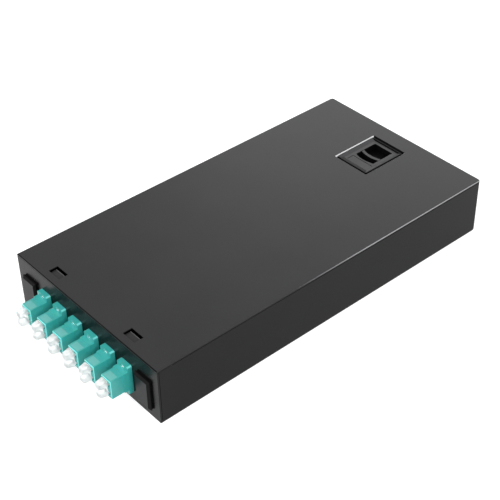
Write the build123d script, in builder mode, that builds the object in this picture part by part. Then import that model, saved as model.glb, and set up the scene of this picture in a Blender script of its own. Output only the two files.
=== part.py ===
from build123d import *
from math import cos, radians, sin, tau
import os

os.makedirs("parts", exist_ok=True)

# A fibre termination box: a folded steel tray with a flat lid that swings about its front edge, six duplex
# adapters and two blanking plugs in the front panel, a recessed slide latch in the lid and a splice tray
# inside. Millimetres. The origin is the middle of the underside, X runs across the front panel to its right,
# Y runs from the front panel to the rear and Z is up.

# Case
width = 135.0
length = 260.0
height = 40.0
sheet = 1.2
bend_radius = 1.7
corner_radius = 2.0
lid_edge_radius = 0.7
lid_gap = 0.3
seam_gap = 0.3
seam_foot = 3.0
cut = 1.0

front = -length / 2
rear = length / 2
inner_half = width / 2 - sheet
lid_under = height - sheet
wall_top = lid_under - lid_gap

# Front panel: eight like places, six with adapters and one blank at each end
pitch = 15.7
adapter_count = 6
place_count = adapter_count + 2
place_z = 17.8
fit_gap = 0.25

# Duplex adapter, with its two ports one above the other
flange_width = 9.6
flange_height = 20.6
flange_thickness = 3.0
flange_corner = 0.8
body_width = 9.2
body_height = 13.3
collar_width = 9.5
collar_height = 13.7
collar_length = 3.0
nose_width = 8.7
nose_height = 12.9
nose_length = 8.5
tail_length = 14.0
body_edge = 0.4
ear_offset = 8.4
ear_hole_radius = 1.15
ear_sink_radius = 1.5
ear_sink_depth = 0.8
port_pitch = 6.25
port_size = 4.9
port_shift = -1.0
port_depth = 9.5
key_width = 1.9
key_height = 2.4
ferrule_radius = 0.72
sleeve_radius = 0.9
sleeve_bore = 0.62
sleeve_length = 6.8
sleeve_gap = 0.08

# Dust cap
cap_gap = 0.3
cap_web_width = 5.4
cap_web_height = 11.8
cap_web_thickness = 1.0
cap_corner = 1.4
lobe_width = 5.2
lobe_height = 5.4
lobe_length = 4.0
lobe_taper = 9.0
lobe_edge = 0.6
peg_size = 4.3
peg_length = 7.0

# Adapter screw, held by the tapped panel
screw_radius = 0.95
tapped_radius = 1.0
screw_length = 5.6
screw_head_radius = 1.25
screw_head_height = 0.7
slot_width = 0.45
slot_depth = 0.35

# Blanking plug
blank_width = 12.8
blank_height = 21.0
blank_lift = 0.6
blank_thickness = 1.9
blank_bevel = 1.3
blank_inset = 0.7
blank_wall = 1.2
blank_tail = 5.5
barb_depth = 0.5
barb_length = 1.4

# Lid windows and the tray's tongues below them
window_width = 10.6
window_length = 6.2
window_setback = 5.0
window_spacing = 72.2
tongue_width = 9.6
tongue_gap = 1.1
tongue_slot_side = 0.6
tongue_slot_drop = 6.3

# Lid lips
lip_gap = 0.4
lip_depth = 8.0
lip_end = 8.0

# Rear strike
strike_width = 44.0
strike_depth = 9.5
strike_clearance = 3.0

# Slide latch
latch_setback = 31.85
latch_width = 26.2
latch_length = 33.2
latch_corner = 0.8
latch_cut_side = 0.45
latch_cut_front = 0.5
latch_cut_rear = 1.5
latch_cut_edge = 0.7
latch_flange_side = 5.0
latch_flange_end = 3.6
latch_flange_thickness = 1.2
dish_depth = 1.0
dish_rim = 0.5
dish_side_ramp = 2.4
dish_front_ramp = 2.8
dish_rear_ramp = 0.5
pocket_width = 15.7
pocket_rear_wall = 3.3
pocket_length = 17.8
arc_rise = 1.4
groove_width = 0.45
groove_depth = 0.4
groove_front = 9.4
groove_left = 7.8
groove_right = 9.2
groove_leg = 5.2
housing_width = 24.4
housing_depth = 6.9
end_wall = 1.6
slide_gap = 0.3
slider_thickness = 1.6
slider_width = 15.6
lip_thickness = 2.1
lip_side_gap = 0.3
lip_top_drop = 0.1
latch_travel = 4.6
stop_gap = 0.5
bolt_width = 14.0
bolt_length = 4.9
bolt_bite = 3.9
bolt_drop = 0.4
bolt_ramp = 1.6
back_plate_thickness = 1.2

# Latch spring
spring_wire = 0.3
spring_coil = 1.4
spring_turns = 5
spring_facets = 10
spring_chamber = 2.1
spring_slot = 3.7

# Latch fasteners
stud_radius = 1.2
stud_length = 4.0
stud_hole_radius = 1.3
stud_spacing_y = 28.0
stud_edge = 2.4
nut_flats = 4.4
nut_height = 2.0
latch_screw_radius = 0.8
latch_screw_bore = 0.9
latch_screw_length = 5.0
latch_screw_head_radius = 1.6
latch_screw_head_height = 0.9
latch_screw_inset = 2.1
latch_screw_spacing_y = 27.0

# Splice tray
tray_width = 104.0
tray_length = 150.0
tray_setback = 47.0
tray_corner = 30.0
tray_floor = 1.6
tray_wall = 1.5
tray_height = 9.5
tray_tab_width = 9.0
tray_tab_reach = 6.0
tray_tab_thickness = 1.0
tray_entry_width = 9.0
tray_entry_x = 30.0
spool_radius = 20.0
spool_wall = 1.5
spool_height = 7.5
spool_offset = 44.0
comb_width = 26.0
comb_length = 20.0
comb_height = 5.0
comb_base = 1.2
comb_offset = 17.0
comb_channels = 6
comb_channel_width = 2.6
standoff_radius = 3.2
standoff_height = 4.8
standoff_x = 43.0
standoff_y = 42.0
tray_screw_radius = 1.45
tray_screw_bore = 1.55
tray_screw_length = 5.0
tray_screw_head_radius = 2.7
tray_screw_head_height = 1.8

# Fibre guides on the tray's floor
guide_wall_gap = 2.8
guide_front_setback = 42.0
guide_rear_setback = 44.0
guide_base_width = 9.0
guide_base_length = 12.0
guide_base_thickness = 1.2
guide_ring_outer = 4.0
guide_ring_inner = 3.0
guide_ring_length = 6.0
guide_ring_opening = 2.4
guide_ring_sink = 0.4

# Anchor for the cables' strength members
anchor_setback = 26.0
anchor_wall_gap = 18.3
anchor_width = 2 * (inner_half - anchor_wall_gap)
anchor_length = 16.0
anchor_height = 8.0
anchor_foot = 7.0
clamp_width = 22.0
clamp_length = 10.0
clamp_screw_radius = 1.45
clamp_screw_bore = 1.55
clamp_screw_length = 6.0
clamp_screw_head_radius = 2.8
clamp_screw_head_height = 2.0

# Earth point
earth_wall_gap = 6.7
earth_setback = 18.0
earth_base_radius = 3.6
earth_base_height = 0.8
earth_radius = 1.95
earth_height = 11.0
earth_nut_flats = 7.0
earth_nut_height = 3.2

# Cable glands
gland_wall_gap = 33.3
gland_x = inner_half - gland_wall_gap
gland_z = 14.0
gland_flats = 15.0
gland_hex_length = 4.0
gland_thread_radius = 6.0
gland_hole_gap = 0.2
gland_inner_length = 9.0
gland_neck_length = 5.0
gland_bore = 4.2
gland_seat_radius = 5.0
gland_seat_depth = 3.4
seal_radius = 4.9
seal_bore = 3.25
seal_length = 4.0
lock_nut_length = 3.5
lock_nut_gap = 0.1
dome_radius = 7.6
dome_flats = 14.4
dome_bore_gap = 0.15
dome_start = 0.3
dome_end_gap = 0.3
dome_end_wall = 1.8
dome_hole = 4.0
dome_edge = 1.6


def facing_front(x, y, z):
    """A plane that looks out of the front panel, with X across and Z up."""
    return Plane(origin=(x, y, z), x_dir=(1, 0, 0), z_dir=(0, -1, 0))


def facing_rear(x, y, z):
    """A plane that looks towards the rear, with X across and Z down."""
    return Plane(origin=(x, y, z), x_dir=(1, 0, 0), z_dir=(0, 1, 0))


def corners(x, y):
    """The four corners of a rectangle about a middle point."""
    return [(side_x * x, side_y * y) for side_x in (-1, 1) for side_y in (-1, 1)]


def hex_radius(flats):
    """The corner radius of a hexagon with this width across its flats."""
    return flats / 2 / cos(radians(30))


adapter_xs = [(number - (adapter_count - 1) / 2) * pitch for number in range(adapter_count)]
blank_xs = {"left": -(place_count - 1) / 2 * pitch, "right": (place_count - 1) / 2 * pitch}
gland_xs = {"left": -gland_x, "right": gland_x}
ears = [(0, -ear_offset), (0, ear_offset)]
ports = [(port_shift, -port_pitch / 2), (port_shift, port_pitch / 2)]
nose_face = front - flange_thickness - collar_length - nose_length
tail_face = front + tail_length

# Places of the inner pieces, from the walls
tray_y = front + tray_setback + tray_length / 2
guide_x = inner_half - guide_wall_gap - guide_base_width / 2
guide_ys = (front + guide_front_setback, rear - guide_rear_setback)
anchor_y = rear - anchor_setback
earth_x = -(inner_half - earth_wall_gap - earth_base_radius)
earth_y = rear - earth_setback

# Latch heights and places
latch_y = rear - latch_setback
latch_front = latch_y - latch_length / 2
latch_rear = latch_y + latch_length / 2
dish_floor = height - dish_depth
housing_foot = lid_under - housing_depth
slider_foot = housing_foot + slide_gap
slider_top = slider_foot + slider_thickness
channel_roof = slider_top + slide_gap
pocket_rear = latch_rear - pocket_rear_wall
pocket_front = pocket_rear - pocket_length
lip_front = pocket_front + latch_travel + stop_gap
lip_rear = lip_front + lip_thickness
lip_half = pocket_width / 2 - lip_side_gap
strike_edge = rear - strike_depth
bolt_tip = strike_edge + bolt_bite
bolt_top = wall_top - sheet - bolt_drop
slider_front = pocket_front - stop_gap
spring_rear = slider_front - slide_gap
spring_front = latch_front + end_wall + slide_gap
spring_z = housing_foot + slide_gap + spring_coil + spring_wire
studs = corners(latch_width / 2 + stud_edge, stud_spacing_y / 2)
latch_screw_places = corners(housing_width / 2 - latch_screw_inset, latch_screw_spacing_y / 2)

# The tray, folded from one sheet: floor, sides, front panel, rear wall, tongues and strike
window_ys = front + window_setback + window_length / 2
window_xs = [-window_spacing / 2, window_spacing / 2]
tongue_length = window_setback + window_length - tongue_gap

with BuildPart() as base_tray:
    with BuildSketch():
        Rectangle(width, length)
    extrude(amount=wall_top)
    fillet(base_tray.edges().filter_by(Axis.Z).group_by(Axis.Y)[-1], corner_radius)
    fillet(base_tray.faces().sort_by(Axis.Z)[0].edges(), bend_radius)
    offset(amount=-sheet, openings=base_tray.faces().sort_by(Axis.Z)[-1])
    with BuildSketch(facing_front(0, front, place_z)):
        with GridLocations(pitch, 0, place_count, 1):
            Rectangle(body_width + 2 * fit_gap, body_height + 2 * fit_gap)
        with GridLocations(pitch, 2 * ear_offset, place_count, 2):
            Circle(tapped_radius)
    extrude(amount=-sheet - cut, mode=Mode.SUBTRACT)
    with BuildSketch(facing_rear(0, rear, gland_z)):
        with Locations(*[(x, 0) for x in gland_xs.values()]):
            Circle(gland_thread_radius + gland_hole_gap)
    extrude(amount=-sheet - cut, mode=Mode.SUBTRACT)
    with BuildSketch(Plane.XY.offset(seam_foot)):
        with GridLocations(width - sheet, 0, 2, 1):
            with Locations((0, front + sheet + seam_gap / 2)):
                Rectangle(sheet + cut, seam_gap)
    extrude(amount=wall_top, mode=Mode.SUBTRACT)
    with BuildSketch(Plane.XY.offset(wall_top - sheet)):
        with Locations(*[(x, front + tongue_length / 2) for x in window_xs]):
            Rectangle(tongue_width, tongue_length)
        with Locations((0, rear - strike_depth / 2)):
            Rectangle(strike_width, strike_depth)
    extrude(amount=sheet)
base_tray.part.label = "base_tray"
export_step(base_tray.part, "parts/base_tray.step")

# The lid: a flat plate with turned-down lips, two windows, the latch cut-out and four pressed-in studs
lip_x = inner_half - lip_gap - sheet / 2
lip_y = length / 2 - sheet - lip_gap - sheet / 2
side_lip_length = length - 2 * (sheet + lip_gap + lip_end)
end_lip_width = width - 2 * (sheet + lip_gap + lip_end)
cut_width = latch_width + 2 * latch_cut_side
cut_length = latch_length + latch_cut_front + latch_cut_rear
cut_y = latch_y + (latch_cut_rear - latch_cut_front) / 2

with BuildPart() as cover:
    with BuildSketch(Plane.XY.offset(lid_under)):
        Rectangle(width, length)
    extrude(amount=sheet)
    fillet(cover.edges().filter_by(Axis.Z).group_by(Axis.Y)[-1], corner_radius)
    fillet(cover.faces().sort_by(Axis.Z)[-1].edges(), lid_edge_radius)
    with BuildSketch(Plane.XY.offset(height)):
        with Locations(*[(x, window_ys) for x in window_xs]):
            Rectangle(window_width, window_length)
        with Locations((0, cut_y)):
            RectangleRounded(cut_width, cut_length, latch_corner)
    extrude(amount=-sheet, mode=Mode.SUBTRACT)
    with BuildSketch(Plane.XY.offset(height)):
        with Locations((0, cut_y)):
            RectangleRounded(cut_width + 2 * latch_cut_edge, cut_length + 2 * latch_cut_edge, latch_corner)
    with BuildSketch(Plane.XY.offset(height - latch_cut_edge)):
        with Locations((0, cut_y)):
            RectangleRounded(cut_width, cut_length, latch_corner)
    loft(mode=Mode.SUBTRACT)
    with BuildSketch(Plane.XY.offset(lid_under)):
        with GridLocations(2 * lip_x, 0, 2, 1):
            Rectangle(sheet, side_lip_length)
        with GridLocations(0, 2 * lip_y, 1, 2):
            Rectangle(end_lip_width, sheet)
    extrude(amount=-lip_depth)
    with BuildSketch(Plane.XY.offset(lid_under)):
        with Locations((0, lip_y)):
            Rectangle(strike_width + 2 * strike_clearance, sheet + cut)
    extrude(amount=-lip_depth, mode=Mode.SUBTRACT)
    with BuildSketch(Plane.XY.offset(lid_under)):
        with Locations(*[(x, -lip_y) for x in window_xs]):
            Rectangle(tongue_width + 2 * tongue_slot_side, sheet + cut)
    extrude(amount=-tongue_slot_drop, mode=Mode.SUBTRACT)
    with BuildSketch(Plane.XY.offset(lid_under)):
        with Locations((0, latch_y)):
            with Locations(*studs):
                Circle(stud_radius)
    extrude(amount=-stud_length - latch_flange_thickness)
cover.part.label = "cover"
export_step(cover.part, "parts/cover.step")

# Adapters: flange, collar and nose outside the panel, tail inside it, two keyed ports at each end
for number, x in enumerate(adapter_xs, 1):
    with BuildPart() as adapter:
        with BuildSketch(facing_front(x, front + tail_length, place_z)):
            Rectangle(body_width, body_height)
        extrude(amount=tail_length + flange_thickness)
        with BuildSketch(facing_front(x, front - flange_thickness, place_z)):
            Rectangle(nose_width, nose_height)
        extrude(amount=collar_length + nose_length)
        chamfer(adapter.faces().sort_by(Axis.Y)[0].edges(), body_edge)
        chamfer(adapter.faces().sort_by(Axis.Y)[-1].edges(), body_edge)
        with BuildSketch(facing_front(x, front - flange_thickness, place_z)):
            Rectangle(collar_width, collar_height)
        extrude(amount=collar_length)
        with BuildSketch(facing_front(x, front, place_z)):
            Rectangle(flange_width, flange_height)
            chamfer(vertices(), flange_corner)
            with Locations(*ears):
                Circle(ear_hole_radius, mode=Mode.SUBTRACT)
        extrude(amount=flange_thickness)
        with BuildSketch(facing_front(x, front - flange_thickness, place_z)):
            with Locations(*ears):
                Circle(ear_sink_radius)
        extrude(amount=-ear_sink_depth, mode=Mode.SUBTRACT)
        for face_plane in (facing_front(x, nose_face, place_z), facing_rear(x, tail_face, place_z)):
            with BuildSketch(face_plane):
                with Locations(*ports):
                    Rectangle(port_size, port_size)
                    with Locations((port_size / 2 + key_width / 2, 0)):
                        Rectangle(key_width, key_height)
            extrude(amount=-port_depth, mode=Mode.SUBTRACT)
        with BuildSketch(facing_front(x, nose_face, place_z)):
            with Locations(*ports):
                Circle(ferrule_radius)
        extrude(amount=nose_face - tail_face, mode=Mode.SUBTRACT)
        middle_y = (nose_face + tail_face) / 2
        with BuildSketch(facing_front(x, middle_y, place_z)):
            with Locations(*ports):
                Circle(sleeve_radius)
        extrude(amount=sleeve_length / 2 + sleeve_gap, both=True, mode=Mode.SUBTRACT)
    adapter.part.label = f"adapter_{number}"
    export_step(adapter.part, f"parts/adapter_{number}.step")

# Ceramic sleeves that line up the fibres, two in each adapter
with BuildPart() as alignment_sleeves:
    for x in adapter_xs:
        with BuildSketch(facing_front(x, (nose_face + tail_face) / 2, place_z)):
            with Locations(*ports):
                Circle(sleeve_radius - sleeve_gap)
                Circle(sleeve_bore, mode=Mode.SUBTRACT)
        extrude(amount=sleeve_length / 2, both=True)
alignment_sleeves.part.label = "alignment_sleeves"
export_step(alignment_sleeves.part, "parts/alignment_sleeves.step")

# Dust caps: a thin web, a peg in each port and a tapered lobe to pull on
for number, x in enumerate(adapter_xs, 1):
    for side, web_plane in (
        ("outer", facing_front(x, nose_face - cap_gap, place_z)),
        ("inner", facing_rear(x, tail_face + cap_gap, place_z)),
    ):
        with BuildPart() as cap:
            with BuildSketch(web_plane):
                with Locations((port_shift, 0)):
                    RectangleRounded(cap_web_width, cap_web_height, cap_corner)
            extrude(amount=cap_web_thickness)
            with BuildSketch(web_plane):
                with Locations(*ports):
                    Rectangle(peg_size, peg_size)
            extrude(amount=-peg_length)
            with BuildSketch(web_plane.offset(cap_web_thickness)):
                with Locations(*ports):
                    RectangleRounded(lobe_width, lobe_height, cap_corner)
            extrude(amount=lobe_length, taper=lobe_taper)
            tips = cap.faces().sort_by(Axis.Y)[:2] if side == "outer" else cap.faces().sort_by(Axis.Y)[-2:]
            chamfer(tips.edges(), lobe_edge)
        cap.part.label = f"{side}_cap_{number}"
        export_step(cap.part, f"parts/{side}_cap_{number}.step")

# Slotted screws through the adapters' ears, their heads sunk into the ears
head_seat = front - flange_thickness + ear_sink_depth
with BuildPart() as adapter_screws:
    for x in adapter_xs:
        with BuildSketch(facing_front(x, head_seat, place_z)):
            with Locations(*ears):
                Circle(screw_head_radius)
        extrude(amount=screw_head_height)
        with BuildSketch(facing_front(x, head_seat, place_z)):
            with Locations(*ears):
                Circle(screw_radius)
        extrude(amount=-screw_length)
        with BuildSketch(facing_front(x, head_seat - screw_head_height, place_z)):
            with Locations(*ears):
                Rectangle(2 * screw_head_radius, slot_width)
        extrude(amount=-slot_depth, mode=Mode.SUBTRACT)
adapter_screws.part.label = "adapter_screws"
export_step(adapter_screws.part, "parts/adapter_screws.step")

# Blanking plugs: a bevelled pad on a smaller foot, and a hollow tail with two barbs behind the panel
for side, x in blank_xs.items():
    with BuildPart() as blank:
        with BuildSketch(facing_front(x, front, place_z)):
            Rectangle(blank_width - blank_inset, blank_height - blank_inset)
        extrude(amount=blank_lift)
        with BuildSketch(facing_front(x, front - blank_lift, place_z)):
            Rectangle(blank_width, blank_height)
        extrude(amount=blank_thickness)
        chamfer(blank.faces().sort_by(Axis.Y)[0].edges(), blank_bevel)
        with BuildSketch(facing_front(x, front, place_z)):
            Rectangle(body_width, body_height)
        extrude(amount=-blank_tail)
        with BuildSketch(facing_rear(x, front + sheet, place_z)):
            with GridLocations(body_width, 0, 2, 1):
                Rectangle(2 * (fit_gap + barb_depth), body_height / 2)
        extrude(amount=barb_length, taper=20)
        with BuildSketch(facing_rear(x, front + blank_tail, place_z)):
            Rectangle(body_width - 2 * blank_wall, body_height - 2 * blank_wall)
        extrude(amount=-blank_tail, mode=Mode.SUBTRACT)
    blank.part.label = f"blanking_plug_{side}"
    export_step(blank.part, f"parts/blanking_plug_{side}.step")

# Latch bezel: a ramped dish flush with the lid, a flange below the lid and a housing that guides the slider
with BuildPart() as latch_bezel:
    with BuildSketch(Plane.XY.offset(lid_under)):
        with Locations((0, latch_y)):
            RectangleRounded(latch_width, latch_length, latch_corner)
    extrude(amount=sheet)
    with BuildSketch(Plane.XY.offset(lid_under)):
        with Locations((0, latch_y)):
            RectangleRounded(
                latch_width + 2 * latch_flange_side, latch_length + 2 * latch_flange_end, latch_corner
            )
            with Locations(*studs):
                Circle(stud_hole_radius, mode=Mode.SUBTRACT)
    extrude(amount=-latch_flange_thickness)
    with BuildSketch(Plane.XY.offset(lid_under)):
        with Locations((0, latch_y)):
            Rectangle(housing_width, latch_length)
    extrude(amount=-housing_depth)
    dish_width = latch_width - 2 * dish_rim
    dish_length = latch_length - 2 * dish_rim
    with BuildSketch(Plane.XY.offset(height)):
        with Locations((0, latch_y)):
            Rectangle(dish_width, dish_length)
    with BuildSketch(Plane.XY.offset(dish_floor)):
        with Locations((0, latch_y + (dish_front_ramp - dish_rear_ramp) / 2)):
            Rectangle(dish_width - 2 * dish_side_ramp, dish_length - dish_front_ramp - dish_rear_ramp)
    loft(mode=Mode.SUBTRACT)
    with BuildSketch(Plane.XY.offset(dish_floor)):
        with BuildLine():
            front_left = (-pocket_width / 2, pocket_front)
            front_right = (pocket_width / 2, pocket_front)
            rear_left = (-pocket_width / 2, pocket_rear)
            rear_right = (pocket_width / 2, pocket_rear)
            ThreePointArc(front_left, (0, pocket_front - arc_rise), front_right)
            Polyline(front_right, rear_right, rear_left, front_left)
        make_face()
    extrude(amount=-housing_depth, mode=Mode.SUBTRACT)
    channel_length = latch_length - end_wall + cut
    with BuildSketch(Plane.XY.offset(housing_foot)):
        with Locations((0, latch_front + end_wall + channel_length / 2)):
            Rectangle(slider_width + 2 * slide_gap, channel_length)
    extrude(amount=channel_roof - housing_foot, mode=Mode.SUBTRACT)
    with BuildSketch(Plane.XY.offset(housing_foot)):
        chamber_length = pocket_front - latch_front - end_wall
        with Locations((0, latch_front + end_wall + chamber_length / 2)):
            Rectangle(2 * spring_chamber, chamber_length)
    extrude(amount=spring_slot, mode=Mode.SUBTRACT)
    groove_y = latch_front + groove_front
    with BuildSketch(Plane.XY.offset(dish_floor)):
        with Locations(((groove_right - groove_left) / 2, groove_y)):
            Rectangle(groove_right + groove_left, groove_width)
        with Locations((-groove_left, groove_y - groove_leg / 2)):
            Rectangle(groove_width, groove_leg)
    extrude(amount=-groove_depth, mode=Mode.SUBTRACT)
    with BuildSketch(Plane.XY.offset(housing_foot)):
        with Locations((0, latch_y)):
            with Locations(*latch_screw_places):
                Circle(latch_screw_bore)
    extrude(amount=latch_screw_length, mode=Mode.SUBTRACT)
latch_bezel.part.label = "latch_bezel"
export_step(latch_bezel.part, "parts/latch_bezel.step")

# Latch slider: a plate in the housing, an arched finger lip in the pocket and a bolt below the strike
with BuildPart() as latch_slider:
    plate_length = bolt_tip - slider_front
    with BuildSketch(Plane.XY.offset(slider_foot)):
        with Locations((0, slider_front + plate_length / 2)):
            Rectangle(slider_width, plate_length)
    extrude(amount=slider_thickness)
    with BuildSketch(Plane.XY.offset(slider_top)):
        with BuildLine():
            ThreePointArc((-lip_half, lip_front), (0, lip_front - arc_rise), (lip_half, lip_front))
            Line((lip_half, lip_front), (lip_half, lip_rear))
            ThreePointArc((lip_half, lip_rear), (0, lip_rear - arc_rise), (-lip_half, lip_rear))
            Line((-lip_half, lip_rear), (-lip_half, lip_front))
        make_face()
    extrude(amount=dish_floor - lip_top_drop - slider_top)
    with BuildSketch(Plane.XY.offset(slider_top)):
        with Locations((0, bolt_tip - bolt_length / 2)):
            Rectangle(bolt_width, bolt_length)
    extrude(amount=bolt_top - slider_top)
    chamfer(latch_slider.faces().sort_by(Axis.Y)[-1].edges().sort_by(Axis.Z)[0], bolt_ramp / 2, bolt_ramp)
latch_slider.part.label = "latch_slider"
export_step(latch_slider.part, "parts/latch_slider.step")

# Latch spring: a coil of wire between the housing's front wall and the slider, in short straight runs
spring_pitch = (spring_rear - spring_front - 2 * spring_wire) / spring_turns
coil_points = []
for step in range(spring_turns * spring_facets + 1):
    turn = tau * step / spring_facets
    along = spring_front + spring_wire + spring_pitch * step / spring_facets
    coil_points.append((spring_coil * cos(turn), along, spring_z + spring_coil * sin(turn)))

with BuildPart() as latch_spring:
    with BuildLine() as coil:
        Polyline(*coil_points)
    with BuildSketch(Plane(origin=coil.line @ 0, z_dir=coil.line % 0)):
        RegularPolygon(spring_wire, 8)
    sweep(transition=Transition.RIGHT)
latch_spring.part.label = "latch_spring"
export_step(latch_spring.part, "parts/latch_spring.step")

# Latch back plate, which closes the housing from below
with BuildPart() as latch_back_plate:
    with BuildSketch(Plane.XY.offset(housing_foot - back_plate_thickness)):
        with Locations((0, latch_y)):
            Rectangle(housing_width, latch_length)
            with Locations(*latch_screw_places):
                Circle(latch_screw_bore, mode=Mode.SUBTRACT)
    extrude(amount=back_plate_thickness)
latch_back_plate.part.label = "latch_back_plate"
export_step(latch_back_plate.part, "parts/latch_back_plate.step")

# Screws that hold the back plate
plate_foot = housing_foot - back_plate_thickness
with BuildPart() as latch_screws:
    with BuildSketch(Plane.XY.offset(plate_foot)):
        with Locations((0, latch_y)):
            with Locations(*latch_screw_places):
                Circle(latch_screw_head_radius)
    extrude(amount=-latch_screw_head_height)
    with BuildSketch(Plane.XY.offset(plate_foot)):
        with Locations((0, latch_y)):
            with Locations(*latch_screw_places):
                Circle(latch_screw_radius)
    extrude(amount=latch_screw_length)
latch_screws.part.label = "latch_screws"
export_step(latch_screws.part, "parts/latch_screws.step")

# Nuts on the lid's studs
flange_foot = lid_under - latch_flange_thickness
with BuildPart() as latch_nuts:
    with BuildSketch(Plane.XY.offset(flange_foot)):
        with Locations((0, latch_y)):
            with Locations(*studs):
                RegularPolygon(hex_radius(nut_flats), 6)
                Circle(stud_hole_radius, mode=Mode.SUBTRACT)
    extrude(amount=-nut_height)
latch_nuts.part.label = "latch_nuts"
export_step(latch_nuts.part, "parts/latch_nuts.step")

# Splice tray: an open moulding with rounded ends, two spools and tabs that keep the fibre in
tray_foot = sheet + standoff_height
tray_top = tray_foot + tray_height
standoffs = [(x, tray_y + y) for x, y in corners(standoff_x, standoff_y)]
spool_places = [(0, tray_y - spool_offset), (0, tray_y + spool_offset)]

with BuildPart() as splice_tray:
    with BuildSketch(Plane.XY.offset(tray_foot)):
        with Locations((0, tray_y)):
            RectangleRounded(tray_width, tray_length, tray_corner)
    extrude(amount=tray_height)
    with BuildSketch(Plane.XY.offset(tray_foot + tray_floor)):
        with Locations((0, tray_y)):
            RectangleRounded(tray_width - 2 * tray_wall, tray_length - 2 * tray_wall, tray_corner - tray_wall)
    extrude(amount=tray_height, mode=Mode.SUBTRACT)
    with BuildSketch(Plane.XY.offset(tray_foot + tray_floor)):
        with Locations(*spool_places):
            Circle(spool_radius)
            Circle(spool_radius - spool_wall, mode=Mode.SUBTRACT)
    extrude(amount=spool_height)
    with BuildSketch(Plane.XY.offset(tray_top - tray_tab_thickness)):
        for side in (-1, 1):
            with Locations((side * (tray_width - tray_wall - tray_tab_reach) / 2, tray_y)):
                Rectangle(tray_tab_reach + tray_wall, tray_tab_width)
            with Locations((0, tray_y + side * (tray_length - tray_wall - tray_tab_reach) / 2)):
                Rectangle(tray_tab_width, tray_tab_reach + tray_wall)
    extrude(amount=tray_tab_thickness)
    with BuildSketch(Plane.XY.offset(tray_foot + tray_floor)):
        with Locations(*[(side * tray_entry_x, tray_y + tray_length / 2) for side in (-1, 1)]):
            Rectangle(tray_entry_width, 4 * tray_wall)
    extrude(amount=tray_height, mode=Mode.SUBTRACT)
    with BuildSketch(Plane.XY.offset(tray_foot)):
        with Locations(*standoffs):
            Circle(tray_screw_bore)
    extrude(amount=tray_floor, mode=Mode.SUBTRACT)
splice_tray.part.label = "splice_tray"
export_step(splice_tray.part, "parts/splice_tray.step")

# Splice combs: a base with parallel ribs that grip the splice protectors
comb_pitch = comb_length / comb_channels
for side, sign in (("left", -1), ("right", 1)):
    with BuildPart() as comb:
        with BuildSketch(Plane.XY.offset(tray_foot + tray_floor)):
            with Locations((sign * comb_offset, tray_y)):
                Rectangle(comb_width, comb_length)
        extrude(amount=comb_height)
        with BuildSketch(Plane.XY.offset(tray_foot + tray_floor + comb_base)):
            with Locations((sign * comb_offset, tray_y)):
                with GridLocations(0, comb_pitch, 1, comb_channels):
                    Rectangle(comb_width, comb_channel_width)
        extrude(amount=comb_height, mode=Mode.SUBTRACT)
    comb.part.label = f"splice_comb_{side}"
    export_step(comb.part, f"parts/splice_comb_{side}.step")

# Standoffs pressed into the tray's floor, and the screws in them
with BuildPart() as tray_standoffs:
    with BuildSketch(Plane.XY.offset(sheet)):
        with Locations(*standoffs):
            Circle(standoff_radius)
            Circle(tray_screw_bore, mode=Mode.SUBTRACT)
    extrude(amount=standoff_height)
tray_standoffs.part.label = "tray_standoffs"
export_step(tray_standoffs.part, "parts/tray_standoffs.step")

with BuildPart() as tray_screws:
    with BuildSketch(Plane.XY.offset(tray_foot + tray_floor)):
        with Locations(*standoffs):
            Circle(tray_screw_head_radius)
    extrude(amount=tray_screw_head_height)
    with BuildSketch(Plane.XY.offset(tray_foot + tray_floor)):
        with Locations(*standoffs):
            Circle(tray_screw_radius)
    extrude(amount=-tray_screw_length)
tray_screws.part.label = "tray_screws"
export_step(tray_screws.part, "parts/tray_screws.step")

# Fibre guides: a stuck-down foot with an open ring
guide_places = [(side * guide_x, y) for y in guide_ys for side in (-1, 1)]
ring_z = sheet + guide_base_thickness + guide_ring_outer - guide_ring_sink
for number, (x, y) in enumerate(guide_places, 1):
    with BuildPart() as guide:
        with BuildSketch(Plane.XY.offset(sheet)):
            with Locations((x, y)):
                RectangleRounded(guide_base_width, guide_base_length, 1.0)
        extrude(amount=guide_base_thickness)
        with BuildSketch(facing_front(x, y, ring_z)):
            Circle(guide_ring_outer)
            Circle(guide_ring_inner, mode=Mode.SUBTRACT)
            with Locations((0, guide_ring_outer)):
                Rectangle(guide_ring_opening, 2 * guide_ring_inner, mode=Mode.SUBTRACT)
        extrude(amount=guide_ring_length / 2, both=True)
    guide.part.label = f"fibre_guide_{number}"
    export_step(guide.part, f"parts/fibre_guide_{number}.step")

# Anchor: a hat-shaped folded strip across the tray, with a clamp plate and screw for each cable
clamp_xs = list(gland_xs.values())
anchor_top = sheet + anchor_height
with BuildPart() as anchor_bracket:
    with BuildSketch(facing_front(0, anchor_y + anchor_length / 2, sheet)):
        half = anchor_width / 2
        with BuildLine():
            Polyline(
                (-half, 0),
                (-half, sheet),
                (-half + anchor_foot, sheet),
                (-half + anchor_foot, anchor_height),
                (half - anchor_foot, anchor_height),
                (half - anchor_foot, sheet),
                (half, sheet),
                (half, 0),
                (half - anchor_foot - sheet, 0),
                (half - anchor_foot - sheet, anchor_height - sheet),
                (-half + anchor_foot + sheet, anchor_height - sheet),
                (-half + anchor_foot + sheet, 0),
                (-half, 0),
            )
        make_face()
    extrude(amount=anchor_length)
    with BuildSketch(Plane.XY.offset(anchor_top)):
        with Locations(*[(x, anchor_y) for x in clamp_xs]):
            Circle(clamp_screw_bore)
    extrude(amount=-sheet - cut, mode=Mode.SUBTRACT)
anchor_bracket.part.label = "anchor_bracket"
export_step(anchor_bracket.part, "parts/anchor_bracket.step")

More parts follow.
